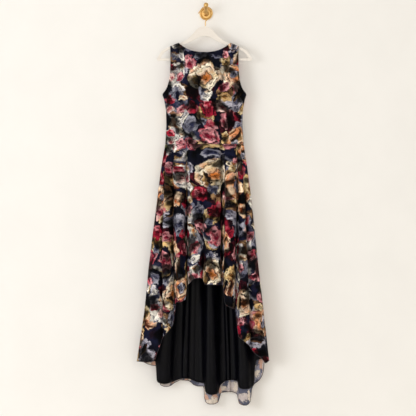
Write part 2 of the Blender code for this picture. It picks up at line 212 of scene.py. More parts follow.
# The chart of one 420 mm repeat, as sets of blooms or leaves, the lowest layer first. Each set is a
# lattice with one place in every cell, read in rows from the bottom left: kind, radius mm, shift mm,
# turn. A bare cell shows what lies below it; the set without rings holds the leaves.
printSets = [
    {"cell": 105, "across": 4, "origin": (52, 40), "rings": 2.6, "blooms": (
        ("maroon", 50, 0, 0, 0), ("slate", 50, 2, -2, 1), ("tan", 46, 2, 2, 2), ("lavender", 47, 0, 2, 4),
        ("slate", 48, -2, 0, 2), ("white", 44, 0, 0, 3), ("tan", 45, 2, 2, 5), ("maroon", 49, 2, -2, 0),
        bare, ("brown", 46, -2, 2, 4), ("maroon", 48, 1, 0, 3), ("blush", 44, 4, 3, 1),
        ("tan", 44, 2, 3, 1), ("lavender", 46, 0, 0, 2), bare, ("slate", 50, 0, 0, 5))},
    {"cell": 70, "across": 6, "origin": (22, 30), "rings": 2.4, "blooms": (
        ("crimson", 32, 2, 2, 0), ("brown", 33, 0, 0, 0), ("pink", 33, 1, 1, 1), bare,
        ("tan", 33, 1, 0, 4), ("crimson", 31, 0, 3, 2), bare, ("cream", 33, 1, 1, 2),
        ("slate", 33, 1, 1, 3), ("pink", 31, 3, 3, 5), ("maroon", 34, 0, 0, 0), ("lavender", 33, 1, 0, 0),
        ("peach", 32, 2, 2, 2), bare, ("crimson", 33, 0, 1, 4), ("brown", 33, 0, 0, 0),
        ("blush", 32, 2, 2, 1), ("tan", 33, 1, 1, 2), bare, ("slate", 33, 1, 1, 4),
        ("maroon", 34, 0, 0, 0), ("white", 32, 0, 0, 0), ("brown", 32, 2, 2, 3), bare,
        ("pink", 32, 2, 2, 0), ("tan", 33, 1, 0, 4), bare, ("lavender", 32, 0, 2, 2),
        ("cream", 33, 0, 0, 0), ("crimson", 31, 3, 3, 5))},
    {"cell": 140, "across": 3, "origin": (0, 56), "rings": 2.9, "blooms": (
        ("white", 54, -5, 14, 1), ("pink", 45, 16, 16, 2), ("peach", 50, -8, 16, 4),
        ("slate", 56, 8, 10, 0), ("crimson", 40, 22, 0, 3), ("lavender", 46, -16, 14, 2),
        ("white", 60, 4, 4, 5), ("cream", 67, -2, -3, 1), ("peach", 54, -12, -12, 3))},
    {"cell": 84, "across": 5, "origin": (30, 12), "rings": 0, "blooms": (
        ("olive", 36, 4, 2, 1), bare, ("white", 38, 0, 3, 4), bare, ("tan", 40, -2, 0, 2.2),
        ("lavender", 40, 0, 1, 5), ("cream", 38, 0, 0, 0.5), bare, bare, ("crimson", 36, 0, 0, 4), bare,
        ("slate", 39, 2, 0, 1.3), bare, bare, ("brown", 38, 0, 0, 2.6), ("peach", 38, 0, 2, 0.9), bare,
        ("tan", 37, 4, -3, 4.4), bare, ("tan", 39, 0, 2, 3.6), bare, ("white", 39, 0, 0, 0.2), bare,
        ("slate", 38, 0, 4, 3.1), ("cream", 39, 2, 2, 5.1))},
    {"cell": 46.667, "across": 9, "origin": (12, 20), "rings": 1.6, "blooms": (
        bare, ("blush", 19, 2, 2, 0), ("pink", 22, 0, 0, 2), bare, bare, bare, bare,
        ("lavender", 21, 0, 0, 1), bare, bare, ("crimson", 22, 0, 0, 3), ("cream", 17, 4, 2, 5), bare,
        bare, bare, ("tan", 20, 2, 0, 2), bare, bare, bare, bare, ("white", 20, 2, 2, 0), bare,
        ("slate", 20, 2, -2, 3), bare, ("pink", 21, 0, 1, 5), bare, bare)},
]


def bloomPlace(bloom, cell):
    # a bloom's place in its cell, its size and its turn, packed as the four numbers of a colour
    kind, radius, x, y, turn = bloom
    size = 0.01 if kind == "none" else radius / cell
    return (0.5 + x / cell, 0.5 + y / cell, size, turn / fullTurn)


def leafShape(tree, own, turn):
    # a pointed leaf or petal, light at one side of its rib
    turned = put(tree, "VectorRotate", {"Vector": own, "Angle": turn}, rotation_type="Z_AXIS")
    sides = put(tree, "SeparateXYZ", (turned,))
    squared = put(tree, "Math", (sides.outputs["X"], 2), operation="POWER")
    half = put(tree, "Math", (sides.outputs["Y"],), operation="ABSOLUTE")
    reach = put(tree, "Math", (half, 2.6, squared), operation="MULTIPLY_ADD")
    shade = put(tree, "MapRange", {0: sides.outputs["Y"], 1: -0.05, 2: 0.22, 4: 0.95})
    depth = put(tree, "MapRange", (sides.outputs["X"], -0.9, 0.8))
    return reach, shade, depth


def bloomShape(tree, own, turn, petals, mottle, rings):
    distance = put(tree, "VectorMath", (own,), operation="LENGTH").outputs["Value"]
    sides = put(tree, "SeparateXYZ", (own,))
    bearing = put(tree, "Math", (sides.outputs["Y"], sides.outputs["X"]), operation="ARCTAN2")
    facing = put(tree, "Math", (bearing, turn), operation="ADD")

    # five uneven petals round the outline, and inner ones that wind round the heart
    fivefold = put(tree, "Math", (facing, 5), operation="MULTIPLY")
    lobes = put(tree, "Math", (fivefold,), operation="SINE")
    notch = put(tree, "Math", (lobes, 0.07, 1.05), operation="MULTIPLY_ADD")
    reach = put(tree, "Math", (distance, notch), operation="MULTIPLY")
    wavy = put(tree, "Math", (lobes, 0.06, distance), operation="MULTIPLY_ADD")
    winding = put(tree, "Math", (facing, 1 / (2 * math.pi)), operation="MULTIPLY")
    spiral = put(tree, "Math", (wavy, rings, winding), operation="MULTIPLY_ADD")
    ringPart = put(tree, "Math", (spiral,), operation="FRACT")
    inner = put(tree, "ValToRGB", (ringPart,))
    setStops(inner, [(0, 0), (0.12, 0.1), (0.34, 0.75), (0.6, 1), (0.94, 1), (1, 0.1)])

    # outer petals are ragged patches, dark at the root and light at the rim
    outward = put(tree, "VectorMath", (own,), operation="NORMALIZE")
    rim = put(tree, "VectorMath", (petals, outward), operation="DOT_PRODUCT").outputs["Value"]
    outer = put(tree, "MapRange", (rim, -0.46, 0.02))
    fromHeart = put(tree, "MapRange", (reach, 0.36, 0.62), interpolation_type="SMOOTHSTEP")
    shade = put(tree, "Mix", {0: fromHeart, 2: inner, 3: outer}, data_type="FLOAT")
    fade = put(tree, "MapRange", (reach, 0.1, 0.55), interpolation_type="SMOOTHSTEP")
    depth = put(tree, "Math", (fade, mottle), operation="MULTIPLY")
    return reach, shade, depth


def bloomSet(tree, cut, petals, mottle, blend, below, spec):
    # lays one set of blooms or leaves over the colour below it
    cell, across, blooms = spec["cell"], spec["across"], spec["blooms"]
    count = len(blooms)
    origin = (spec["origin"][0] / cell, spec["origin"][1] / cell, 0)
    rows = (across, count // across, 1)
    scaled = put(tree, "VectorMath", (cut, (1000 / cell, 1000 / cell, 0)), operation="MULTIPLY")
    shifted = put(tree, "VectorMath", (scaled, origin), operation="ADD")
    corner = put(tree, "VectorMath", (shifted,), operation="FLOOR")
    inCell = put(tree, "VectorMath", (shifted, corner), operation="SUBTRACT")
    place = put(tree, "VectorMath", (corner, rows, (0, 0, 0)), operation="WRAP")
    middle = put(tree, "VectorMath", (place, (0.5, 0, 0)), operation="ADD")
    places = (1 / count, across / count, 0)
    order = put(tree, "VectorMath", (middle, places), operation="DOT_PRODUCT").outputs["Value"]

    # charts: where each bloom lies in its cell and how large it is, then its four colours
    where = put(tree, "ValToRGB", (order,))
    setStops(where, [(k / count, bloomPlace(b, cell)) for k, b in enumerate(blooms)], "CONSTANT")
    tints = []
    for part in range(4):
        tints.append(put(tree, "ValToRGB", (order,)))
        chart = [(k / count, bloomColours[b[0]][part]) for k, b in enumerate(blooms)]
        setStops(tints[-1], chart, "CONSTANT")
    petal, second, heart, crevice = tints
    bothPetals = put(tree, "Mix", {0: blend, 6: petal, 7: second}, data_type="RGBA").outputs[2]

    # the place within the bloom, 1 at its rim
    size = put(tree, "SeparateXYZ", (where,)).outputs["Z"]
    grow = put(tree, "Math", (1, size), operation="DIVIDE")
    away = put(tree, "VectorMath", (inCell, where), operation="SUBTRACT")
    flat = put(tree, "VectorMath", (away, (1, 1, 0)), operation="MULTIPLY")
    own = put(tree, "VectorMath", {0: flat, "Scale": grow}, operation="SCALE")
    turn = put(tree, "Math", (where.outputs["Alpha"], fullTurn), operation="MULTIPLY")
    if spec["rings"]:
        reach, shade, depth = bloomShape(tree, own, turn, petals, mottle, spec["rings"])
    else:
        reach, shade, depth = leafShape(tree, own, turn)
    colour = put(tree, "Mix", {0: depth, 6: heart, 7: bothPetals}, data_type="RGBA").outputs[2]
    shaded = put(tree, "Mix", {0: shade, 6: crevice, 7: colour}, data_type="RGBA").outputs[2]
    cover = put(tree, "MapRange", (reach, 0.97, 0.9))
    return put(tree, "Mix", {0: cover, 6: below, 7: shaded}, data_type="RGBA").outputs[2]


def sway(tree, cut, place, amount, scale, detail, rough):
    # moves a place by noise that is read at the cut, up to half the amount each way
    noise = put(tree, "TexNoise", {"Vector": cut, "Scale": scale, "Detail": detail, "Roughness": rough})
    centred = put(tree, "VectorMath", (noise.outputs["Color"], (0.5, 0.5, 0.5)), operation="SUBTRACT")
    return put(tree, "VectorMath", (centred, (amount, amount, 0), place), operation="MULTIPLY_ADD")


def floralPrint(tree):
    # colour of the print over the flat cut of a panel, and the brush strokes in it
    cut = put(tree, "UVMap", uv_map="cut")
    warped = sway(tree, cut, sway(tree, cut, cut, 0.075, 8.5, 1, 0.5), 0.042, 38, 5, 0.7)
    scaled = put(tree, "VectorMath", (warped, patchesPerMetre), operation="MULTIPLY")
    patch = put(tree, "TexVoronoi", {"Vector": scaled, "Scale": 1}, voronoi_dimensions="2D")
    petals = put(tree, "VectorMath", (scaled, patch.outputs["Position"]), operation="SUBTRACT")
    patchTone = put(tree, "SeparateXYZ", (patch.outputs["Color"],))
    mottle = put(tree, "MapRange", {0: patchTone.outputs["Y"], 2: 0.45, 3: 0.35})
    tints = put(tree, "TexNoise", {"Vector": warped, "Scale": 27, "Detail": 2})
    blend = put(tree, "MapRange", {0: tints, 1: 0.5, 2: 0.6, 4: 0.9}, interpolation_type="SMOOTHSTEP")

    # ground: near-black navy with dim maroon shapes
    ghost = put(tree, "TexNoise", {"Vector": warped, "Scale": 11, "Detail": 2})
    colour = put(tree, "ValToRGB", (ghost,))
    setStops(colour, [(0.3, "#08090f"), (0.5, "#0d0f1e"), (0.62, "#14172e"), (0.75, "#190b13")])
    for spec in printSets:
        colour = bloomSet(tree, warped, petals, mottle, blend, colour, spec)

    # brushwork: petal patches lighter and darker, fine strokes, thin dark veins, and parts sunk in shade
    stroke = put(tree, "TexNoise", {"Vector": warped, **brush})
    vein = put(tree, "TexNoise", {"Vector": warped, "Scale": 40, "Detail": 2, "Distortion": 2.4})
    veins = put(tree, "ValToRGB", (vein,))
    setStops(veins, [(0.452, 1), (0.476, 0.28), (0.494, 1), (0.545, 1), (0.56, 0.5), (0.575, 1)])
    tone = put(tree, "Math", (patchTone.outputs["X"], 0.4, 0.67), operation="MULTIPLY_ADD")
    strokeTone = put(tree, "MapRange", (stroke, 0.3, 0.7, 0.66, 1.36))
    sunk = put(tree, "TexNoise", {"Vector": cut, "Scale": 15, "Detail": 2})
    dim = put(tree, "MapRange", (sunk, 0.4, 0.52, 0.08, 1.2), interpolation_type="SMOOTHSTEP")
    for factor in (strokeTone, veins, dim):
        tone = put(tree, "Math", (tone, factor), operation="MULTIPLY")
    return put(tree, "VectorMath", {0: colour, "Scale": tone}, operation="SCALE"), stroke


def surface(tree, shader, colour, rough, grain, strength, depth, others=()):
    # a finish: its colour, gloss and fine relief, and what is the same all over it
    bump = put(tree, "Bump", {"Strength": strength, "Distance": depth * mm, "Height": grain})
    feed(tree, shader, {"Base Color": colour, "Roughness": rough, "Normal": bump})
    feed(tree, shader, others)


def crepeSurface(tree, shader, colour, stroke, gloss):
    # crepe is woven of twisted yarns: a pebbly grain, drawn at 1.6 mm, coarser than the real 0.4 mm
    cut = put(tree, "UVMap", uv_map="cut")
    pebble = put(tree, "TexNoise", {"Vector": cut, "Scale": 620, "Detail": 2})
    rough = put(tree, "MapRange", (stroke, 0.3, 0.7, gloss - 0.05, gloss + 0.07))
    surface(tree, shader, colour, rough, pebble, 0.12, 0.6, {"IOR": 1.5, "Specular IOR Level": 0.05})


def printedCrepe(tree, shader):
    # polyester crepe, printed on its right side: soft and matt, strong colour on near-black
    colour, stroke = floralPrint(tree)
    crepeSurface(tree, shader, colour, stroke, 0.68)


def crepeWrongSide(tree, shader):
    # the print shows through to the wrong side as soft grey, cream and blush patches
    cut = put(tree, "UVMap", uv_map="cut")
    warped = sway(tree, cut, cut, 0.075, 34, 5, 0.7)
    flowers = {"Vector": warped, "Scale": 38}
    patch = put(tree, "TexVoronoi", flowers, voronoi_dimensions="2D")
    kind = put(tree, "SeparateXYZ", (patch.outputs["Color"],)).outputs["X"]
    tints = put(tree, "ValToRGB", (kind,))
    washed = [(0, "#5f6274"), (0.3, "#c9bfbd"), (0.48, "#8e8d9c"), (0.68, "#dcd0c4"), (0.88, "#cfa795")]
    setStops(tints, washed, "CONSTANT")
    edge = put(tree, "TexVoronoi", flowers, voronoi_dimensions="2D", feature="DISTANCE_TO_EDGE")
    line = put(tree, "MapRange", {0: edge.outputs["Distance"], 2: 0.06, 3: 0.5})
    stroke = put(tree, "TexNoise", {"Vector": warped, **brush})
    soft = put(tree, "MapRange", (stroke, 0.3, 0.7, 0.66, 1.12))
    tone = put(tree, "Math", (line, soft), operation="MULTIPLY")
    colour = put(tree, "VectorMath", {0: tints, "Scale": tone}, operation="SCALE")
    crepeSurface(tree, shader, colour, stroke, 0.75)


def blackLining(tree, shader):
    # polyester satin lining: black, with a soft shine down the folds
    cut = put(tree, "UVMap", uv_map="cut")
    stretched = put(tree, "VectorMath", (cut, (900, 260, 0)), operation="MULTIPLY")
    thread = put(tree, "TexNoise", {"Vector": stretched, "Scale": 1, "Detail": 2})
    slub = put(tree, "TexNoise", {"Vector": cut, "Scale": 24, "Detail": 3})
    black = put(tree, "ValToRGB", (slub,))
    setStops(black, [(0.3, "#010104"), (0.7, "#04040b")])
    rough = put(tree, "MapRange", (thread, 0.3, 0.7, 0.36, 0.46))
    surface(tree, shader, black, rough, thread, 0.1, 0.4, {"IOR": 1.5, "Specular IOR Level": 0.09})


def hemThread(tree, shader):
    # rolled hem: the print's right side turned under and overlocked, dark with specks of its colours
    spot = put(tree, "TexCoord").outputs["Object"]
    along = put(tree, "TexNoise", {"Vector": spot, "Scale": 60, "Detail": 2})
    colour = put(tree, "ValToRGB", (along,))
    specks = [(0.38, "#0b0b16"), (0.54, "#110f1a"), (0.6, "#42181e"), (0.66, "#4a362a"), (0.72, "#0d0d18")]
    setStops(colour, specks)
    twist = put(tree, "TexNoise", {"Vector": spot, "Scale": 900})
    surface(tree, shader, colour, 0.7, twist, 0.3, 0.4)


def liningHem(tree, shader):
    # narrow machine hem of the lining, with a slight edge shine
    spot = put(tree, "TexCoord").outputs["Object"]
    twist = put(tree, "TexNoise", {"Vector": spot, "Scale": 700})
    tone = put(tree, "ValToRGB", (twist,))
    setStops(tone, [(0.3, "#08080a"), (0.7, "#17171b")])
    surface(tree, shader, tone, 0.5, twist, 0.25, 0.4)


def hangerLacquer(tree, shader):
    # beech sprayed with cream satin lacquer: smooth, with faint grain under the paint
    spot = put(tree, "TexCoord").outputs["Object"]
    stretched = put(tree, "VectorMath", (spot, (30, 260, 420)), operation="MULTIPLY")
    grain = put(tree, "TexNoise", {"Vector": stretched, "Scale": 1, "Detail": 3, "Distortion": 0.4})
    cream = put(tree, "ValToRGB", (grain,))
    setStops(cream, [(0.3, "#e1dad1"), (0.7, "#e8e2db")])
    rough = put(tree, "MapRange", (grain, 0.3, 0.7, 0.34, 0.44))
    surface(tree, shader, cream, rough, grain, 0.06, 0.4, {"IOR": 1.5, "Coat Weight": 0.15})


def polishedBrass(tree, shader, low, high):
    # lacquered brass, turned and buffed: warm gold with slight hazing
    spot = put(tree, "TexCoord").outputs["Object"]
    haze = put(tree, "TexNoise", {"Vector": spot, "Scale": 70, "Detail": 3})
    gold = put(tree, "ValToRGB", (haze,))
    setStops(gold, [(0.3, "#cda364"), (0.7, "#dab678")])
    rough = put(tree, "MapRange", (haze, 0.3, 0.7, low, high))
    fine = put(tree, "TexNoise", {"Vector": spot, "Scale": 1400})
    surface(tree, shader, gold, rough, fine, 0.04, 0.2, {"Metallic": 1})


crepe = newMaterial("printed polyester crepe", printedCrepe)
wrongSide = newMaterial("wrong side of printed crepe", crepeWrongSide)
satin = newMaterial("black satin lining", blackLining)
crepeHem = newMaterial("rolled crepe hem", hemThread)
satinHem = newMaterial("lining hem thread", liningHem)
lacquer = newMaterial("cream lacquered beech", hangerLacquer)
brass = newMaterial("buffed brass", polishedBrass, 0.3, 0.42)
wireBrass = newMaterial("brass plated wire", polishedBrass, 0.24, 0.36)
printedCloth = {
    "wall": 0.7, "faces": (crepe, wrongSide), "slot": "printed_crepe",
    "hem": crepeHem, "hemRound": 1.3,
}
liningCloth = {
    "wall": 0.6, "faces": (satin, satin), "slot": "black_lining",
    "hem": satinHem, "hemRound": 0.9,
}
print("materials: printed crepe and its wrong side, satin lining, lacquer, brass")


# The bodice: darted flat on the hanger, neckline and armholes open
bodice = {
    "middleX": -6.5, "hangY": -45, "seamGap": 0.35,
    "neckHalf": 109.6, "shoulderHalf": 143.6, "neckCurve": 2.5,
    "frontNeck": 164, "backNeck": 168, "waist": 550.6,
    "armTop": 126.8, "armSlope": 0.40, "overArm": 1.5, "armRound": 8, "armSquare": 2.6,
    "rows": 96, "neckColumns": 32, "sideColumns": 24, "evenWidth": 2, "evenDepth": 6,
    "creaseStart": 0.25, "creaseRise": 2.2, "creaseEnd": 1.15, "creaseFall": 1.6,
    "printPlace": {"front": (210, 0), "left": (60, 170), "right": (300, 170)},
}

# below the hook, half width, depth to the front and to the back, half the armhole's gap
bodiceRows = np.array((
    (139.4, 143.6, 19, 14, 10.4), (140, 143.6, 19, 14, 10.4), (142.4, 143.5, 19.2, 14.1, 10.4),
    (149.5, 143.3, 19.8, 14.4, 10.4), (172, 142.7, 21.5, 15.5, 11.4), (212, 142.6, 26.5, 18, 14.6),
    (254, 144.2, 32, 21.8, 15.4), (286, 148.7, 38, 25, 13.5), (312, 156.4, 42.3, 27, 9.4),
    (330, 167, 44.2, 28, 4.2), (340, 178, 45, 28, 0), (362, 169.6, 45.5, 28, 0),
    (408, 161.4, 43, 27, 0), (470, 159.6, 39, 26.2, 0), (550.6, 164.2, 40, 30, 0)))

# Creases of the bodice: x and distance down of both ends, how far it stands out (in if negative)
# and its half width. The cloth is drawn from the shoulders, the underarms and the waist seam.
frontCreases = (
    (-164, 538, -58, 549, -2.4, 4.5), (-150, 528, -84, 541, 1.4, 6), (166, 541, 118, 549, -1.6, 5),
    (-128, 318, -62, 372, -2.6, 9), (-138, 342, -84, 352, 1.8, 8), (132, 322, 58, 380, -2.4, 10),
    (142, 344, 92, 356, 1.6, 8), (-104, 176, -70, 262, 1.3, 11), (-92, 190, -44, 236, -1.1, 10),
    (106, 178, 76, 270, 1.4, 12), (88, 196, 40, 240, -1.2, 9), (-46, 168, 34, 172, 0.9, 8),
    (-150, 404, -96, 418, -1.5, 7), (-154, 438, -110, 430, 1.2, 8), (152, 410, 104, 432, -1.6, 8),
    (150, 462, 112, 446, 1.1, 7), (-118, 548, -110, 492, -1.7, 6), (-92, 549, -78, 512, 1.4, 7),
    (-62, 549, -58, 506, -1.2, 6), (-18, 549, -22, 520, 1, 7), (34, 549, 40, 500, -1.3, 7),
    (76, 549, 84, 516, 1.3, 6), (112, 549, 118, 486, -1.6, 8), (-146, 549, -138, 508, 1.4, 6),
    (140, 549, 146, 514, 1.2, 6), (-8, 268, 6, 470, 1, 26), (-70, 396, -54, 470, -1.2, 14),
    (66, 402, 52, 476, -1.3, 15))
backCreases = (
    (-134, 326, -70, 350, -2.2, 9), (136, 330, 66, 362, -2.3, 9), (-110, 186, -84, 280, 1.4, 12),
    (108, 182, 80, 286, 1.3, 11), (-148, 420, -90, 440, -1.5, 8), (150, 428, 96, 452, -1.4, 8),
    (-126, 549, -112, 480, -1.8, 7), (-84, 549, -74, 496, 1.5, 8), (-44, 549, -42, 510, -1.3, 6),
    (40, 549, 36, 502, -1.4, 7), (88, 549, 78, 490, 1.4, 8), (128, 549, 118, 476, -1.7, 8),
    (-60, 300, -40, 460, 1.1, 22), (58, 306, 44, 470, 1.2, 20), (0, 172, 0, 549, -0.9, 3.2))


def armDown(x):
    # height of the hanger's arm, where the shoulders rest on it
    return bodice["armTop"] + bodice["armSlope"] * (np.abs(x) - bodice["neckHalf"])


def bodiceTop(x, neckDown):
    # neckline, and the shoulder seams beside it over the hanger's arms
    neckPoint = bodice["armTop"] - bodice["overArm"]
    neck = lerp(neckDown, neckPoint, (np.abs(x) / bodice["neckHalf"]) ** bodice["neckCurve"])
    return np.where(np.abs(x) >= bodice["neckHalf"] - 0.01, armDown(x) - bodice["overArm"], neck)


def columnAngles():
    # even columns, with one exactly at each neck point
    neck = math.asin(bodice["neckHalf"] / bodice["shoulderHalf"])
    inner = np.linspace(0, neck, bodice["neckColumns"] + 1)
    outer = np.linspace(neck, math.pi / 2, bodice["sideColumns"] + 1)[1:]
    return np.concatenate([inner, outer])


def bodiceHeights():
    # rows close together at the shoulders, where the cloth turns over the hanger
    turn = (139.4, 139.6, 139.9, 140.3, 140.9, 141.8, 143, 144.6, 146.8, 149.5, 153)
    rest = np.linspace(157.5, bodice["waist"], bodice["rows"] - len(turn))
    return np.concatenate([turn, rest])


def bodiceGrid(angles, side, neckDown, creases):
    downs = bodiceHeights()[:, None]
    half, front, back, gap = (np.interp(downs, bodiceRows[:, 0], bodiceRows[:, k]) for k in (1, 2, 3, 4))
    settle(half, bodice["evenWidth"])
    for depth in (front, back, gap):
        settle(depth, bodice["evenDepth"])
    across, roundIn = np.sin(angles)[None, :], np.cos(angles)[None, :]
    shoulderX = across * bodice["shoulderHalf"]
    height = (bodice["waist"] - downs) / (bodice["waist"] - bodiceRows[0, 0])
    down = lerp(bodice["waist"], bodiceTop(shoulderX, neckDown), height)
    belowArm = np.maximum(down - armDown(shoulderX) + bodice["overArm"], 0)
    over = np.clip(1 - belowArm / bodice["armRound"], 0, 1)
    rounding = (1 - over ** bodice["armSquare"]) ** (1 / bodice["armSquare"])
    reach = lerp(gap, front if side < 0 else back, roundIn) * rounding
    x = across * half
    for x0, d0, x1, d1, out, width in creases:
        # a soft trough or ridge along a line, fading at both ends
        run = math.hypot(x1 - x0, d1 - d0)
        along = ((x - x0) * (x1 - x0) + (down - d0) * (d1 - d0)) / run ** 2
        aside = ((x - x0) * (d1 - d0) - (down - d0) * (x1 - x0)) / run
        held = ease(along * bodice["creaseRise"] + bodice["creaseStart"])
        held *= ease((bodice["creaseEnd"] - along) * bodice["creaseFall"])
        reach = reach + out * np.exp(-(aside / width) ** 2) * np.clip(held, 0, 1)
    reach = np.maximum(reach, bodice["seamGap"] / 2)
    grid = np.stack([bodice["middleX"] + x, bodice["hangY"] + side * reach, -down + np.zeros_like(x)], -1)
    grid[-1, :, 2] += bodice["seamGap"] / 2
    return grid


def bodicePanel(name, node, grid, across, place, turned):
    # across: distance along each row of the panel; place: where its cut lies on the printed cloth
    flat = np.stack([across + place[0], bodice["waist"] + grid[:, :, 2] + place[1]], -1)
    return clothPiece(name, node, grid, flat, printedCloth, turned)


def buildBodice():
    # the front panel, and two back panels that meet at the centre-back seam
    half = columnAngles()
    both = np.concatenate([-half[:0:-1], half])
    front = bodiceGrid(both, -1, bodice["frontNeck"], frontCreases)
    across = arcLengths(front, len(half) - 1)
    yield bodicePanel("front_bodice", "bodice_front", front, across, bodice["printPlace"]["front"], True)
    for side, way in (("left", -1), ("right", 1)):
        back = bodiceGrid(way * half, 1, bodice["backNeck"], backCreases)
        back[:, 0, 0] += way * bodice["seamGap"] / 2
        across = -way * arcLengths(back, 0)
        place = bodice["printPlace"][side]
        yield bodicePanel(side + "_back_bodice", "bodice_back_" + side, back, across, place, way < 0)


# The skirts: rings from the waist seam to the hem, and the folds that hang from it
skirt = {
    "foldStart": 0.16, "foldRun": 520, "fan": 0.85, "pinch": 1.4, "steep": 0.6, "deepFold": 24,
    "rows": 110, "perFold": 18, "evenRows": 5, "hemFits": 14, "hemCatch": 0.7, "hemSoft": 6,
    "viewAway": 12000, "viewX": 8.4, "viewDown": 818.6, "lineDepth": -45,
    "creaseStart": 0.06, "creaseEnd": 0.12, "plainBySeam": 0.7,
    "liningAtWaist": 1.75, "liningAtSeam": 3.2, "liningBelow": 9, "liningRun": 150, "liningNearSeam": 2.5,
    "cutRow": 0.75, "hemRise": 0.3,
}

# below the waist seam, reach to the left, right, front and back, and the ring's distance from the wall
skirtRows = np.array((
    (0, 164.2, 164.2, 40, 30, 45), (50, 173, 172, 44, 32, 46), (108, 182.7, 181, 50, 34, 48),
    (234, 198, 197.4, 58, 38, 52), (380, 217, 212.5, 66, 43, 57), (528, 235, 228, 73, 48, 62),
    (692, 250.5, 247, 79, 52, 66), (912, 283, 271.5, 84, 55, 69), (1110, 298, 284, 84, 56, 70)))

# Folds from side seam to side seam: place at the waist and at the hem, how far out, length,
# and for the back the lining's length
frontFolds = np.array((
    (-1, -1, 0, 911), (-0.985, -0.85, 5, 913), (-0.965, -0.667, -18, 845), (-0.89, -0.585, 6, 795),
    (-0.79, -0.516, -34, 668), (-0.62, -0.41, 6, 662), (-0.46, -0.306, -32, 575), (-0.27, -0.167, 4, 562),
    (-0.05, -0.025, -15, 565), (0.2, 0.145, 6, 591), (0.437, 0.314, -36, 590), (0.62, 0.43, 6, 685),
    (0.83, 0.545, -34, 700), (0.885, 0.645, 6, 825), (0.935, 0.757, -17, 862), (0.968, 0.88, 4, 895),
    (1, 1, 0, 908)))
backFolds = np.array((
    (-1, -1, 0, 911, 890), (-0.9, -0.84, 5, 922, 896), (-0.66, -0.6, -30, 1020, 1006),
    (-0.42, -0.37, 4, 988, 985), (-0.32, -0.285, -9, 987, 984), (-0.23, -0.2, 3, 996, 988),
    (-0.12, -0.105, 6, 1019, 1000), (0.11, 0.103, -36, 1093, 1051), (0.34, 0.31, 6, 1041, 993),
    (0.4, 0.365, -7, 1037, 990), (0.46, 0.42, 4, 1037, 991), (0.66, 0.6, -38, 1097, 1028),
    (0.86, 0.815, 3, 1002, 908), (0.92, 0.895, 5, 966, 901), (0.965, 0.95, 3, 924, 898),
    (1, 1, 0, 908, 896)))

# Finer creases between the folds: place along the fold table, from and to down the length
# (0 waist, 1 hem), how far out, half width in mm
frontSkirtCreases = (
    (6, 0.03, 1, -16, 7), (10, 0, 1, -17, 7), (4, 0.25, 1, -14, 7), (12, 0.2, 1, -14, 7),
    (2, 0.35, 1, -10, 7), (8, 0.4, 1, -8, 8), (14, 0.3, 1, -9, 7),
    (1.4, 0, 0.5, -2.2, 5), (2.5, 0.05, 0.8, 2, 6), (3.4, 0, 0.32, -2.4, 5), (4.55, 0.1, 0.95, -2, 6),
    (5.2, 0, 0.22, 2.2, 6), (5.75, 0.3, 1, 1.8, 7), (6.5, 0.02, 0.4, -2.4, 6), (7.3, 0, 0.18, -2, 5),
    (7.6, 0.35, 1, -1.8, 8), (8.35, 0, 0.3, 2, 7), (8.7, 0.5, 1, 1.8, 8), (9.3, 0.05, 0.5, -2.2, 7),
    (9.7, 0, 0.2, 1.8, 5), (10.5, 0.1, 0.75, 2, 7), (11.3, 0, 0.26, -2.6, 6), (11.7, 0.4, 1, -2, 7),
    (12.5, 0, 0.9, 1.8, 6), (13.4, 0, 0.42, -2.2, 5), (14.4, 0.2, 0.9, 1.8, 7), (15.2, 0, 0.35, -1.8, 5))
backSkirtCreases = (
    (0.6, 0, 0.5, -2, 5), (1.5, 0, 0.35, -2.4, 6), (2.5, 0.1, 0.8, 2.2, 8), (3.5, 0, 0.3, -2, 5),
    (4.5, 0.2, 1, 1.8, 6), (5.5, 0, 0.45, -2, 6), (6.4, 0.05, 0.7, 2, 7), (7.5, 0, 0.3, -2.6, 6),
    (7.7, 0.4, 1, 2, 8), (8.5, 0, 0.5, -2, 6), (9.5, 0.3, 1, 1.8, 6), (10.4, 0, 0.4, -2.2, 6),
    (10.8, 0.3, 0.9, 2.2, 8), (11.6, 0, 0.3, 2, 6), (12.5, 0.2, 0.9, -1.8, 5), (13.5, 0, 0.5, 1.8, 5))


# Lines of the three hems: across from the dress's middle, and down from the waist seam
frontHemLine = np.array((
    (-287, 911), (-262, 913), (-243, 917), (-220, 913), (-203, 901), (-200, 890), (-196, 866), (-188, 851),
    (-181, 835), (-179, 814), (-157, 793), (-132, 761), (-127, 754), (-126, 699), (-123, 680), (-119, 664),
    (-95, 662), (-80, 653), (-76, 645), (-75, 598), (-70, 593), (-56, 577), (-45, 565), (-17, 562),
    (-7, 567), (-2, 585), (10, 591), (76, 591), (80, 593), (81, 645), (83, 662), (93, 678), (109, 686),
    (132, 694), (134, 701), (135, 793), (140, 806), (165, 827), (188, 847), (204, 870), (219, 886),
    (243, 901), (256, 921), (271, 909)))
backHemLine = np.array((
    (-287, 911), (-254, 915), (-237, 924), (-220, 929), (-203, 930), (-198, 957), (-194, 993),
    (-185, 1012), (-172, 1018), (-153, 1018), (-138, 1012), (-132, 1005), (-103, 990), (-69, 992),
    (-59, 997), (-46, 1010), (-31, 1016), (-2, 1016), (1, 1070), (5, 1084), (18, 1092), (42, 1092),
    (57, 1083), (63, 1068), (64, 1045), (91, 1040), (116, 1039), (138, 1048), (142, 1074), (146, 1089),
    (162, 1097), (179, 1097), (191, 1086), (195, 1066), (198, 1028), (206, 1009), (219, 1000), (231, 990),
    (242, 972), (248, 953), (249, 932), (251, 913), (256, 919), (271, 909)))
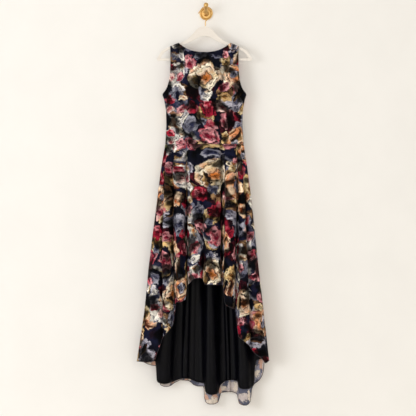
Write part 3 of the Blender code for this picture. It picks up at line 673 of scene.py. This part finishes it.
liningHemLine = np.array((
    (-287, 902), (-245, 906), (-205, 911), (-202, 957), (-206, 989), (-198, 999), (-187, 1005),
    (-163, 1007), (-137, 1000), (-111, 988), (-85, 984), (-61, 986), (-35, 998), (0, 1005), (2, 1038),
    (11, 1048), (26, 1053), (42, 1052), (58, 1046), (62, 1028), (64, 1014), (86, 994), (114, 990),
    (139, 994), (142, 1019), (149, 1026), (162, 1029), (190, 1027), (209, 1011), (213, 990), (206, 957),
    (202, 917), (221, 906), (250, 898), (275, 896)))


def between(folds, places, side, fan):
    # how far each column is from one fold to the next, in depth and along the ring: the front's folds
    # are pinched between broad ridges, and the back's are alike on both sides
    i = np.minimum(places.astype(int), len(folds) - 2)
    f = places - i
    if side > 0:
        inner = (i > 0) & (i < len(folds) - 2)
        steep = skirt["steep"] * fan * np.sin(2 * np.pi * f) / (2 * np.pi)
        return i, ease(f), f + np.where(inner, steep, 0)
    rise = folds[i + 1, 2] - folds[i, 2]
    deep = np.minimum(np.abs(rise) / skirt["deepFold"], 1)
    fromTrough = np.where(rise > 0, f, 1 - f)
    out = lerp(ease(fromTrough), np.sin(np.pi / 2 * fromTrough), deep)
    across = lerp(fromTrough, fromTrough ** skirt["pinch"], deep * fan)
    return i, np.where(rise > 0, out, 1 - out), np.where(rise > 0, across, 1 - across)


def foldAngle(folds, i, across, fan):
    top, low = np.arcsin(folds[:, 0]), np.arcsin(folds[:, 1])
    return lerp(lerp(top[i], top[i + 1], across), lerp(low[i], low[i + 1], across), fan)


def skirtRow(folds, places, length, side, creases, inward, t):
    # one line across the skirt, t from the waist seam (0) to the hem (1)
    i, outPart, across = between(folds, places, side, t)
    out = lerp(folds[i, 2], folds[i + 1, 2], outPart)
    drop = t * length
    left, right, front, back, middle = (
        np.interp(drop, skirtRows[:, 0], skirtRows[:, k]) for k in range(1, 6))
    angle = foldAngle(folds, i, across, t ** skirt["fan"])
    half = np.where(angle < 0, left, right)
    deep = front if side < 0 else back
    normal = np.stack([deep * np.sin(angle), side * half * np.cos(angle)], -1)
    normal /= np.linalg.norm(normal, axis=1)[:, None]
    opened = np.sin(np.pi / 2 * np.clip(drop / skirt["foldRun"], 0, 1))
    push = out * lerp(skirt["foldStart"], 1, opened)
    x = bodice["middleX"] + half * np.sin(angle)
    y = -middle + side * np.maximum(deep * np.cos(angle), bodice["seamGap"] / 2)
    steps = np.hypot(np.diff(x + normal[:, 0] * push), np.diff(y + normal[:, 1] * push))
    run = np.concatenate([[0], np.cumsum(steps)])
    fade = np.clip(np.minimum(places, places[-1] - places) / skirt["plainBySeam"], 0, 1)
    for place, start, end, high, width in creases:
        # a crease that reaches the waist seam or the hem doesn't fade there
        held = ease((t - start) / skirt["creaseStart"] + (start == 0))
        held *= ease((end - t) / skirt["creaseEnd"] + (end == 1))
        if held > 0:
            push = push + high * held * np.exp(-((run - np.interp(place, places, run)) / width) ** 2) * fade
    if inward:
        nearSeam = ease(skirt["liningNearSeam"] * np.cos(angle))
        below = lerp(skirt["liningAtSeam"], skirt["liningBelow"], nearSeam)
        push = push - lerp(skirt["liningAtWaist"], below, ease(drop / skirt["liningRun"]))
    z = -bodice["waist"] - drop - (bodice["seamGap"] / 2 if t == 0 else 0)
    return np.stack([x + normal[:, 0] * push, y + normal[:, 1] * push, z], -1)


def skirtGrid(folds, side, lengthColumn, hemLine, creases, inward=False):
    last = len(folds) - 1
    places = np.linspace(0, last, last * skirt["perFold"] + 1)
    i = np.minimum(places.astype(int), last - 1)
    length = lerp(folds[i, lengthColumn], folds[i + 1, lengthColumn], ease(places - i))
    for _ in range(skirt["hemFits"]):
        # the hem is let down or taken up until it follows its line as seen from the front
        hem = skirtRow(folds, places, length, side, creases, inward, 1)
        nearer = (skirt["viewAway"] + skirt["lineDepth"]) / (skirt["viewAway"] + hem[:, 1])
        seenX = (hem[:, 0] - skirt["viewX"]) * nearer + skirt["viewX"] - bodice["middleX"]
        seenDown = (-hem[:, 2] - skirt["viewDown"]) * nearer + skirt["viewDown"] - bodice["waist"]
        length = length + skirt["hemCatch"] * (np.interp(seenX, hemLine[:, 0], hemLine[:, 1]) - seenDown)
        length[1:-1] = (length[:-2] + skirt["hemSoft"] * length[1:-1] + length[2:]) / (skirt["hemSoft"] + 2)
    downs = np.linspace(0, 1, skirt["rows"] + 1)
    rows = [skirtRow(folds, places, length, side, creases, inward, t) for t in downs]
    return settle(np.array(rows), skirt["evenRows"])


def fanCut(grid, shift):
    # the flat cut of a flared skirt is part of a ring: its place there, as UV in mm
    middle = int(np.argmin(np.abs(grid[0, :, 0] - bodice["middleX"])))
    run = arcLengths(grid, middle)
    down = -grid[:, :, 2] - bodice["waist"]
    row = int(len(run) * skirt["cutRow"])
    spread = (run[row, -1] - run[row, 0]) / (run[0, -1] - run[0, 0])
    apex = down[row].mean() / (spread - 1)
    turn = run[row] / (apex + down[row])
    reach = apex + down
    return np.stack([reach * np.sin(turn) + shift[0], apex - reach * np.cos(turn) + shift[1]], -1)


def skirtPieces(name, node, hemName, grid, shift, cloth, turned=False):
    # a panel of the skirt, and the narrow hem that is rolled along its edge
    panel = clothPiece(name, node, grid, fanCut(grid, shift), cloth, turned)
    points = grid[-1][::2].copy()
    points[:, 2] += skirt["hemRise"]
    return panel, tubePiece(hemName, points, cloth["hemRound"], cloth["hem"], cloth["slot"], sides=2)


frontBodice, leftBack, rightBack = buildBodice()
print("bodice: front and two back panels")
grid = skirtGrid(frontFolds, -1, 3, frontHemLine, frontSkirtCreases)
frontSkirt, frontHem = skirtPieces(
    "front_skirt", "skirt_front", "front_rolled_hem", grid, (175, 0), printedCloth, turned=True)
grid = skirtGrid(backFolds, 1, 3, backHemLine, backSkirtCreases)
backSkirt, backHem = skirtPieces(
    "back_skirt", "skirt_back", "back_rolled_hem", grid, (40, 95), printedCloth)
grid = skirtGrid(backFolds, 1, 4, liningHemLine, (), inward=True)
backLining, narrowHem = skirtPieces(
    "back_lining", "lining_back", "lining_narrow_hem", grid, (0, 0), liningCloth)
print("skirt: front, back and lining, with their hems")


# Hanger: flat, with rounded edges, its arms under the shoulders and a straight bar
hanger = {
    "thick": 10, "edge": 2.2, "edgeSteps": 4, "edgeAngle": 60, "steps": 6,
    "barTop": 190.5, "barBottom": 199.5, "barEnd": 182.5,
    "top": ((0, 55), (18, 59), (34, 70.1), (51.7, 90.7), (75.2, 111.5), (97, 122.8), (109.6, 127.6)),
    "rests": (121, 132, 143.6),
    "end": ((161, 147.6), (178.5, 158.8), (190.5, 176.4), (198.5, 190), (200, 196), (196.5, 199.5)),
    "hole": ((0, 95.3), (22.3, 101.2), (51.7, 117.6), (75.2, 129.4), (98, 137), (121, 144.2), (143, 152),
             (158, 158.8), (172.6, 170.5), (184.4, 188)),
    "wire": 2, "wireSteps": 5, "loop": 26.5, "loopTurn": range(-60, 121, 12),
    "stemX": -2.5, "stemGap": 0.35,
    "stemBend": ((-2.5, -47), (-2.5, -39), (-1, -33), (4.5, -28)), "tip": ((-24.5, 9.5), (-32.3, -1.7)),
}


def closedOutline(curve, half):
    # the half outline and its mirror image, with the points on the middle line once
    points = half + [np.array((-p[0], p[1])) for p in reversed(half) if p[0] > 0.01]
    spline = curve.splines.new("POLY")
    spline.points.add(len(points) - 1)
    for target, p in zip(spline.points, points):
        target.co = (p[0] * mm, p[1] * mm, 0, 1)
    spline.use_cyclic_u = True


def hangerShape():
    # the flat outline with its opening, stood up in the hanging plane
    rests = [(x, armDown(x)) for x in hanger["rests"]]
    top = [(x, -d) for x, d in (*hanger["top"], *rests, *hanger["end"])]
    hole = [(x, -d) for x, d in hanger["hole"]]
    barTop = [np.array((hanger["barEnd"], -hanger["barTop"])), np.array((0, -hanger["barTop"]))]
    curve = bpy.data.curves.new("hanger_shape", "CURVE")
    curve.dimensions = "2D"
    curve.fill_mode = "BOTH"
    curve.extrude = hanger["thick"] / 2 * mm
    closedOutline(curve, through(top, hanger["steps"]) + [np.array((0, -hanger["barBottom"]))])
    closedOutline(curve, through(hole, hanger["steps"]) + barTop)
    shape = addObject("hanger_shape", curve)
    bpy.context.view_layer.update()
    mesh = bpy.data.meshes.new_from_object(shape.evaluated_get(bpy.context.evaluated_depsgraph_get()))
    bpy.data.objects.remove(shape)
    work = bmesh.new()
    work.from_mesh(mesh)
    bmesh.ops.remove_doubles(work, verts=work.verts, dist=weld)
    for v in work.verts:
        v.co = (v.co.x + bodice["middleX"] * mm, bodice["hangY"] * mm - v.co.z, v.co.y)
    work.to_mesh(mesh)
    work.free()
    return mesh


def buildHanger():
    mesh = hangerShape()
    mesh.materials.clear()
    mesh.materials.append(lacquer)
    mesh.shade_smooth()
    piece = addObject("lacquered_hanger", mesh)
    edge = piece.modifiers.new("rounded edge", "BEVEL")
    edge.width = hanger["edge"] * mm
    edge.segments = hanger["edgeSteps"]
    edge.limit_method = "ANGLE"
    edge.angle_limit = math.radians(hanger["edgeAngle"])
    even = piece.modifiers.new("even shading", "WEIGHTED_NORMAL")
    even.keep_sharp = False
    standsFor(piece, "hanger_body", "cream_hanger")


def buildHangerHook():
    loop = [(hanger["loop"] * math.cos(math.radians(a)), hanger["loop"] * math.sin(math.radians(a)))
            for a in hanger["loopTurn"]]
    stem = (hanger["stemX"], hanger["stemGap"] - hanger["top"][0][1])
    path = through([stem, *hanger["stemBend"], *loop, *hanger["tip"]], hanger["wireSteps"])
    points = [(p[0], bodice["hangY"], p[1]) for p in path]
    tubePiece("hanger_wire_hook", points, hanger["wire"], wireBrass, "polished_brass", "hanger_hook", sides=5)


# Wall hook: a turned plate, and an arm that rises from it and ends in a ball
wallHook = {
    "plate": ((0, 10.5), (6, 10.5), (7.4, 10.2), (8.5, 9.2), (9.1, 7.8), (9.8, 6.4), (11.4, 5.4), (14, 5),
              (18, 5), (20, 5.2), (21, 6), (21.8, 7), (22.8, 7.6), (24, 7.7), (25.3, 7.2), (26.3, 6.2),
              (26.9, 4.8), (27, 3.5), (27, 0.4), (26.6, 0), (0, 0)),
    "sides": 96,
    "arm": ((10.6, -2, 5.6), (11.4, -2, 5.1), (12.5, -2, 5), (16.5, -1.9, 5.2), (24, 1.5, 5.8),
            (32, 8.5, 6.4), (39, 14.5, 6.7), (46, 17, 6.7), (52, 20.5, 6.4)),
    "armSteps": 4,
    "ballOut": 59, "ballUp": 33, "ballRadius": 10.3, "ballArc": (-0.82, 1.5), "ballSteps": 24,
}


def buildWallPlate():
    mesh = bpy.data.meshes.new("turned_wall_plate")
    work = bmesh.new()
    ring = [work.verts.new((r * mm, 0, h * mm)) for r, h in wallHook["plate"]]
    for a, b in zip(ring, ring[1:]):
        work.edges.new((a, b))
    work.to_mesh(mesh)
    work.free()
    mesh.materials.append(brass)
    plate = addObject("turned_wall_plate", mesh)
    plate.rotation_euler = (math.pi / 2, 0, 0)
    turn = plate.modifiers.new("turned", "SCREW")
    turn.steps = turn.render_steps = wallHook["sides"]
    turn.use_merge_vertices = True
    turn.merge_threshold = weld
    turn.use_smooth_shade = True
    standsFor(plate, "wall_hook_plate", "polished_brass")


def buildHookArm():
    # out from the wall, up, and the radius there; the ball is the last stretch
    curve = [tuple(p) for p in through(wallHook["arm"], wallHook["armSteps"])]
    out, up, _ = wallHook["arm"][-1]
    axis = Vector((wallHook["ballOut"] - out, wallHook["ballUp"] - up)).normalized()
    for k in range(wallHook["ballSteps"] + 1):
        angle = lerp(*wallHook["ballArc"], k / wallHook["ballSteps"])
        along, radius = wallHook["ballRadius"] * math.sin(angle), wallHook["ballRadius"] * math.cos(angle)
        curve.append((wallHook["ballOut"] + axis.x * along, wallHook["ballUp"] + axis.y * along, radius))
    points = [(0, -p[0], p[1]) for p in curve]
    radii = [p[2] for p in curve]
    tubePiece("wall_hook_arm_and_ball", points, 1, brass, "polished_brass", "wall_hook_arm", radii, sides=8)


buildHanger()
buildHangerHook()
buildWallPlate()
buildHookArm()
print("hanger and wall hook")


# Stage: a plain wall, clear from behind, and a plain floor below the picture
stage = {
    "half": 6, "wallTop": 2.6, "wallY": 0.0008, "floorZ": -1.76, "floorDepth": 6,
    "camera": (0.0084, -12, -0.8186), "pictureWidth": 1.7472, "dressY": -0.045,
}


def mattPaint(tree, shader, low, high, clearFromBehind):
    # slightly uneven, with no shine
    spot = put(tree, "TexCoord").outputs["Object"]
    rolled = put(tree, "TexNoise", {"Vector": spot, "Scale": 5, "Detail": 4})
    tone = put(tree, "ValToRGB", (rolled,))
    setStops(tone, [(0.3, low), (0.7, high)])
    feed(tree, shader, {"Base Color": tone, "Roughness": 0.8})
    if clearFromBehind:
        back = put(tree, "NewGeometry").outputs["Backfacing"]
        both = put(tree, "MixShader", (back, shader, put(tree, "BsdfTransparent")))
        feed(tree, tree.nodes["Material Output"], {"Surface": both})


def stagePlane(name, corners, material):
    mesh = bpy.data.meshes.new(name)
    mesh.from_pydata(corners, [], [(0, 1, 2, 3)])
    mesh.materials.append(material)
    plane = addObject(name, mesh)
    return plane


def areaLight(name, place, target, size, power, colour):
    data = bpy.data.lights.new(name, "AREA")
    data.shape = "DISK"
    data.size = size
    data.energy = power
    data.color = linear(colour)[:3]
    lamp = addObject(name, data)
    lamp.location = place
    lamp.rotation_euler = (Vector(target) - Vector(place)).to_track_quat("-Z", "Y").to_euler()


side, low, top, depth = stage["half"], stage["floorZ"], stage["wallTop"], stage["floorDepth"]
wallCorners = [(x, stage["wallY"], z) for x, z in ((-side, low), (side, low), (side, top), (-side, top))]
floorCorners = [(-side, -depth, low), (side, -depth, low), (side, depth, low), (-side, depth, low)]
wallPaint = newMaterial("matt wall paint", mattPaint, "#f0efed", "#f3f2f0", True)
floorPaint = newMaterial("pale floor", mattPaint, "#ebe8e2", "#efece7", False)
wallPlane = stagePlane("plain_wall", wallCorners, wallPaint)
wallPlane.visible_shadow = False  # lets the light behind it reach the dress's back
stagePlane("plain_floor", floorCorners, floorPaint)

areaLight("key_window", (-4.3, -4.4, 0), (0, 0, -0.8), 3, 112, "#fcfdff")
areaLight("fill_room", (0.6, -6.2, -1), (0, 0, -0.9), 3.4, 66, "#fff9f1")
areaLight("behind_soft", (1.2, 3.4, 0.4), (0, 0, -0.8), 3, 85, "#fffaf4")

world = bpy.data.worlds.new("pale room")
world.use_nodes = True
feed(world.node_tree, world.node_tree.nodes["Background"], {"Color": linear("#f7f2e9"), "Strength": 0.75})
bpy.context.scene.world = world
bpy.context.scene.view_settings.view_transform = "Standard"  # plain colours, as the photo's

cameraData = bpy.data.cameras.new("camera")
camera = addObject("camera", cameraData)
camera.location = stage["camera"]
camera.rotation_euler = (math.pi / 2, 0, 0)
distance = stage["dressY"] - stage["camera"][1]
cameraData.lens = cameraData.sensor_width * distance / stage["pictureWidth"]
bpy.context.scene.camera = camera
print("stage, lights and camera")
